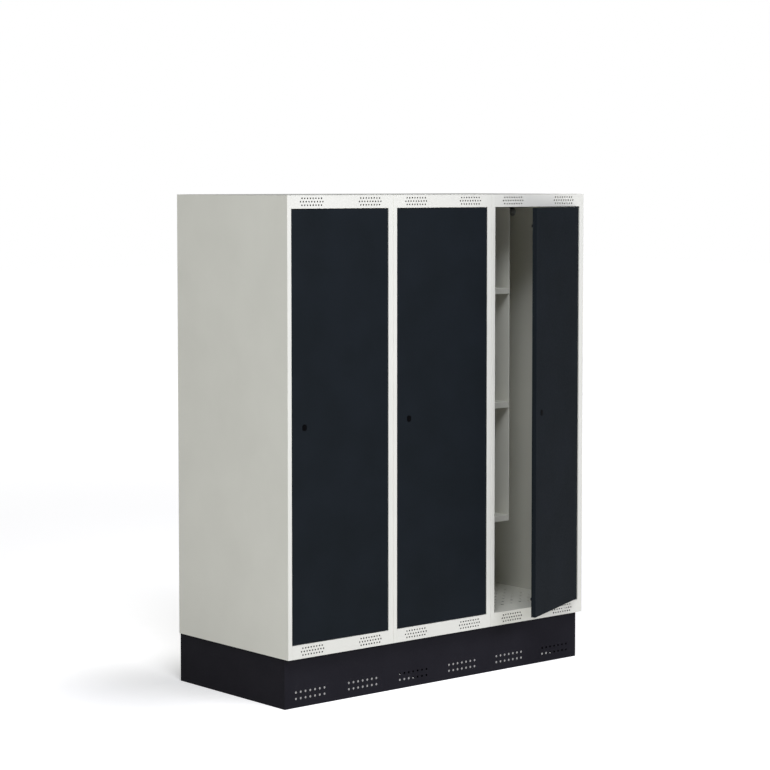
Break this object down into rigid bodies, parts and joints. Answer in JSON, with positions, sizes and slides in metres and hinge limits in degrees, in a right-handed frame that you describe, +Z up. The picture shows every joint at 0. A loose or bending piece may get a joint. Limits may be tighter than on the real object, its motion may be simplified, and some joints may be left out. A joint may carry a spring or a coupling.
{
  "type": "locker cabinet",
  "caption": "Row of steel lockers on a perforated plinth; each has a right-hung door, a divider, shelves and a coat rail.",
  "frame": {"origin": "on the floor, in the middle of the cabinet's footprint", "axes": "+Z up, +X to the right along the front, +Y from the doors towards the back"},
  "size_m": [1.2116, 0.6987, 1.51],
  "materials": {
    "body": "smooth white powder coat, satin",
    "door": "smooth anthracite powder coat, satin",
    "plinth": "black powder coat, satin",
    "zinc": "bright zinc plating",
    "rubber": "matt black rubber",
    "plug": "matt black moulded plastic"
  },
  "bodies": {
    "cabinet": {"plinth_front": "plinth", "plinth_back": "plinth", "plinth_left": "plinth", "plinth_right": "plinth", "plinth_brace": "plinth", "side_left_1": "body", "side_right_1": "body", "back_1": "body", "roof_1": "body", "floor_1": "body", "rail_top_1": "body", "rail_bottom_1": "body", "divider_1": "body", "shelf_lower_1": "body", "shelf_middle_1": "body", "shelf_upper_1": "body", "coat_rail_1": "zinc", "side_left_2": "body", "side_right_2": "body", "back_2": "body", "roof_2": "body", "floor_2": "body", "rail_top_2": "body", "rail_bottom_2": "body", "divider_2": "body", "shelf_lower_2": "body", "shelf_middle_2": "body", "shelf_upper_2": "body", "coat_rail_2": "zinc", "side_left_3": "body", "side_right_3": "body", "back_3": "body", "roof_3": "body", "floor_3": "body", "rail_top_3": "body", "rail_bottom_3": "body", "divider_3": "body", "shelf_lower_3": "body", "shelf_middle_3": "body", "shelf_upper_3": "body", "coat_rail_3": "zinc"},
    "door_body_1": {"door_1": "door", "hinge_pin_lower_1": "zinc", "hinge_pin_upper_1": "zinc", "buffer_lower_1": "rubber", "buffer_upper_1": "rubber", "lock_plug_1": "plug"},
    "door_body_2": {"door_2": "door", "hinge_pin_lower_2": "zinc", "hinge_pin_upper_2": "zinc", "buffer_lower_2": "rubber", "buffer_upper_2": "rubber", "lock_plug_2": "plug"},
    "door_body_3": {"door_3": "door", "hinge_pin_lower_3": "zinc", "hinge_pin_upper_3": "zinc", "buffer_lower_3": "rubber", "buffer_upper_3": "rubber", "lock_plug_3": "plug"}
  },
  "joints": [
    {"name": "door_hinge_1", "type": "hinge", "parent": "cabinet", "child": "door_body_1", "pos_m": [-0.22995, -0.27, 0.83075], "axis": [0, 0, 1], "range_deg": [0, 110]},
    {"name": "door_hinge_2", "type": "hinge", "parent": "cabinet", "child": "door_body_2", "pos_m": [0.17405, -0.27, 0.83075], "axis": [0, 0, 1], "range_deg": [0, 110]},
    {"name": "door_hinge_3", "type": "hinge", "parent": "cabinet", "child": "door_body_3", "pos_m": [0.57805, -0.27, 0.83075], "axis": [0, 0, 1], "range_deg": [-24.5, 85.5]}
  ]
}
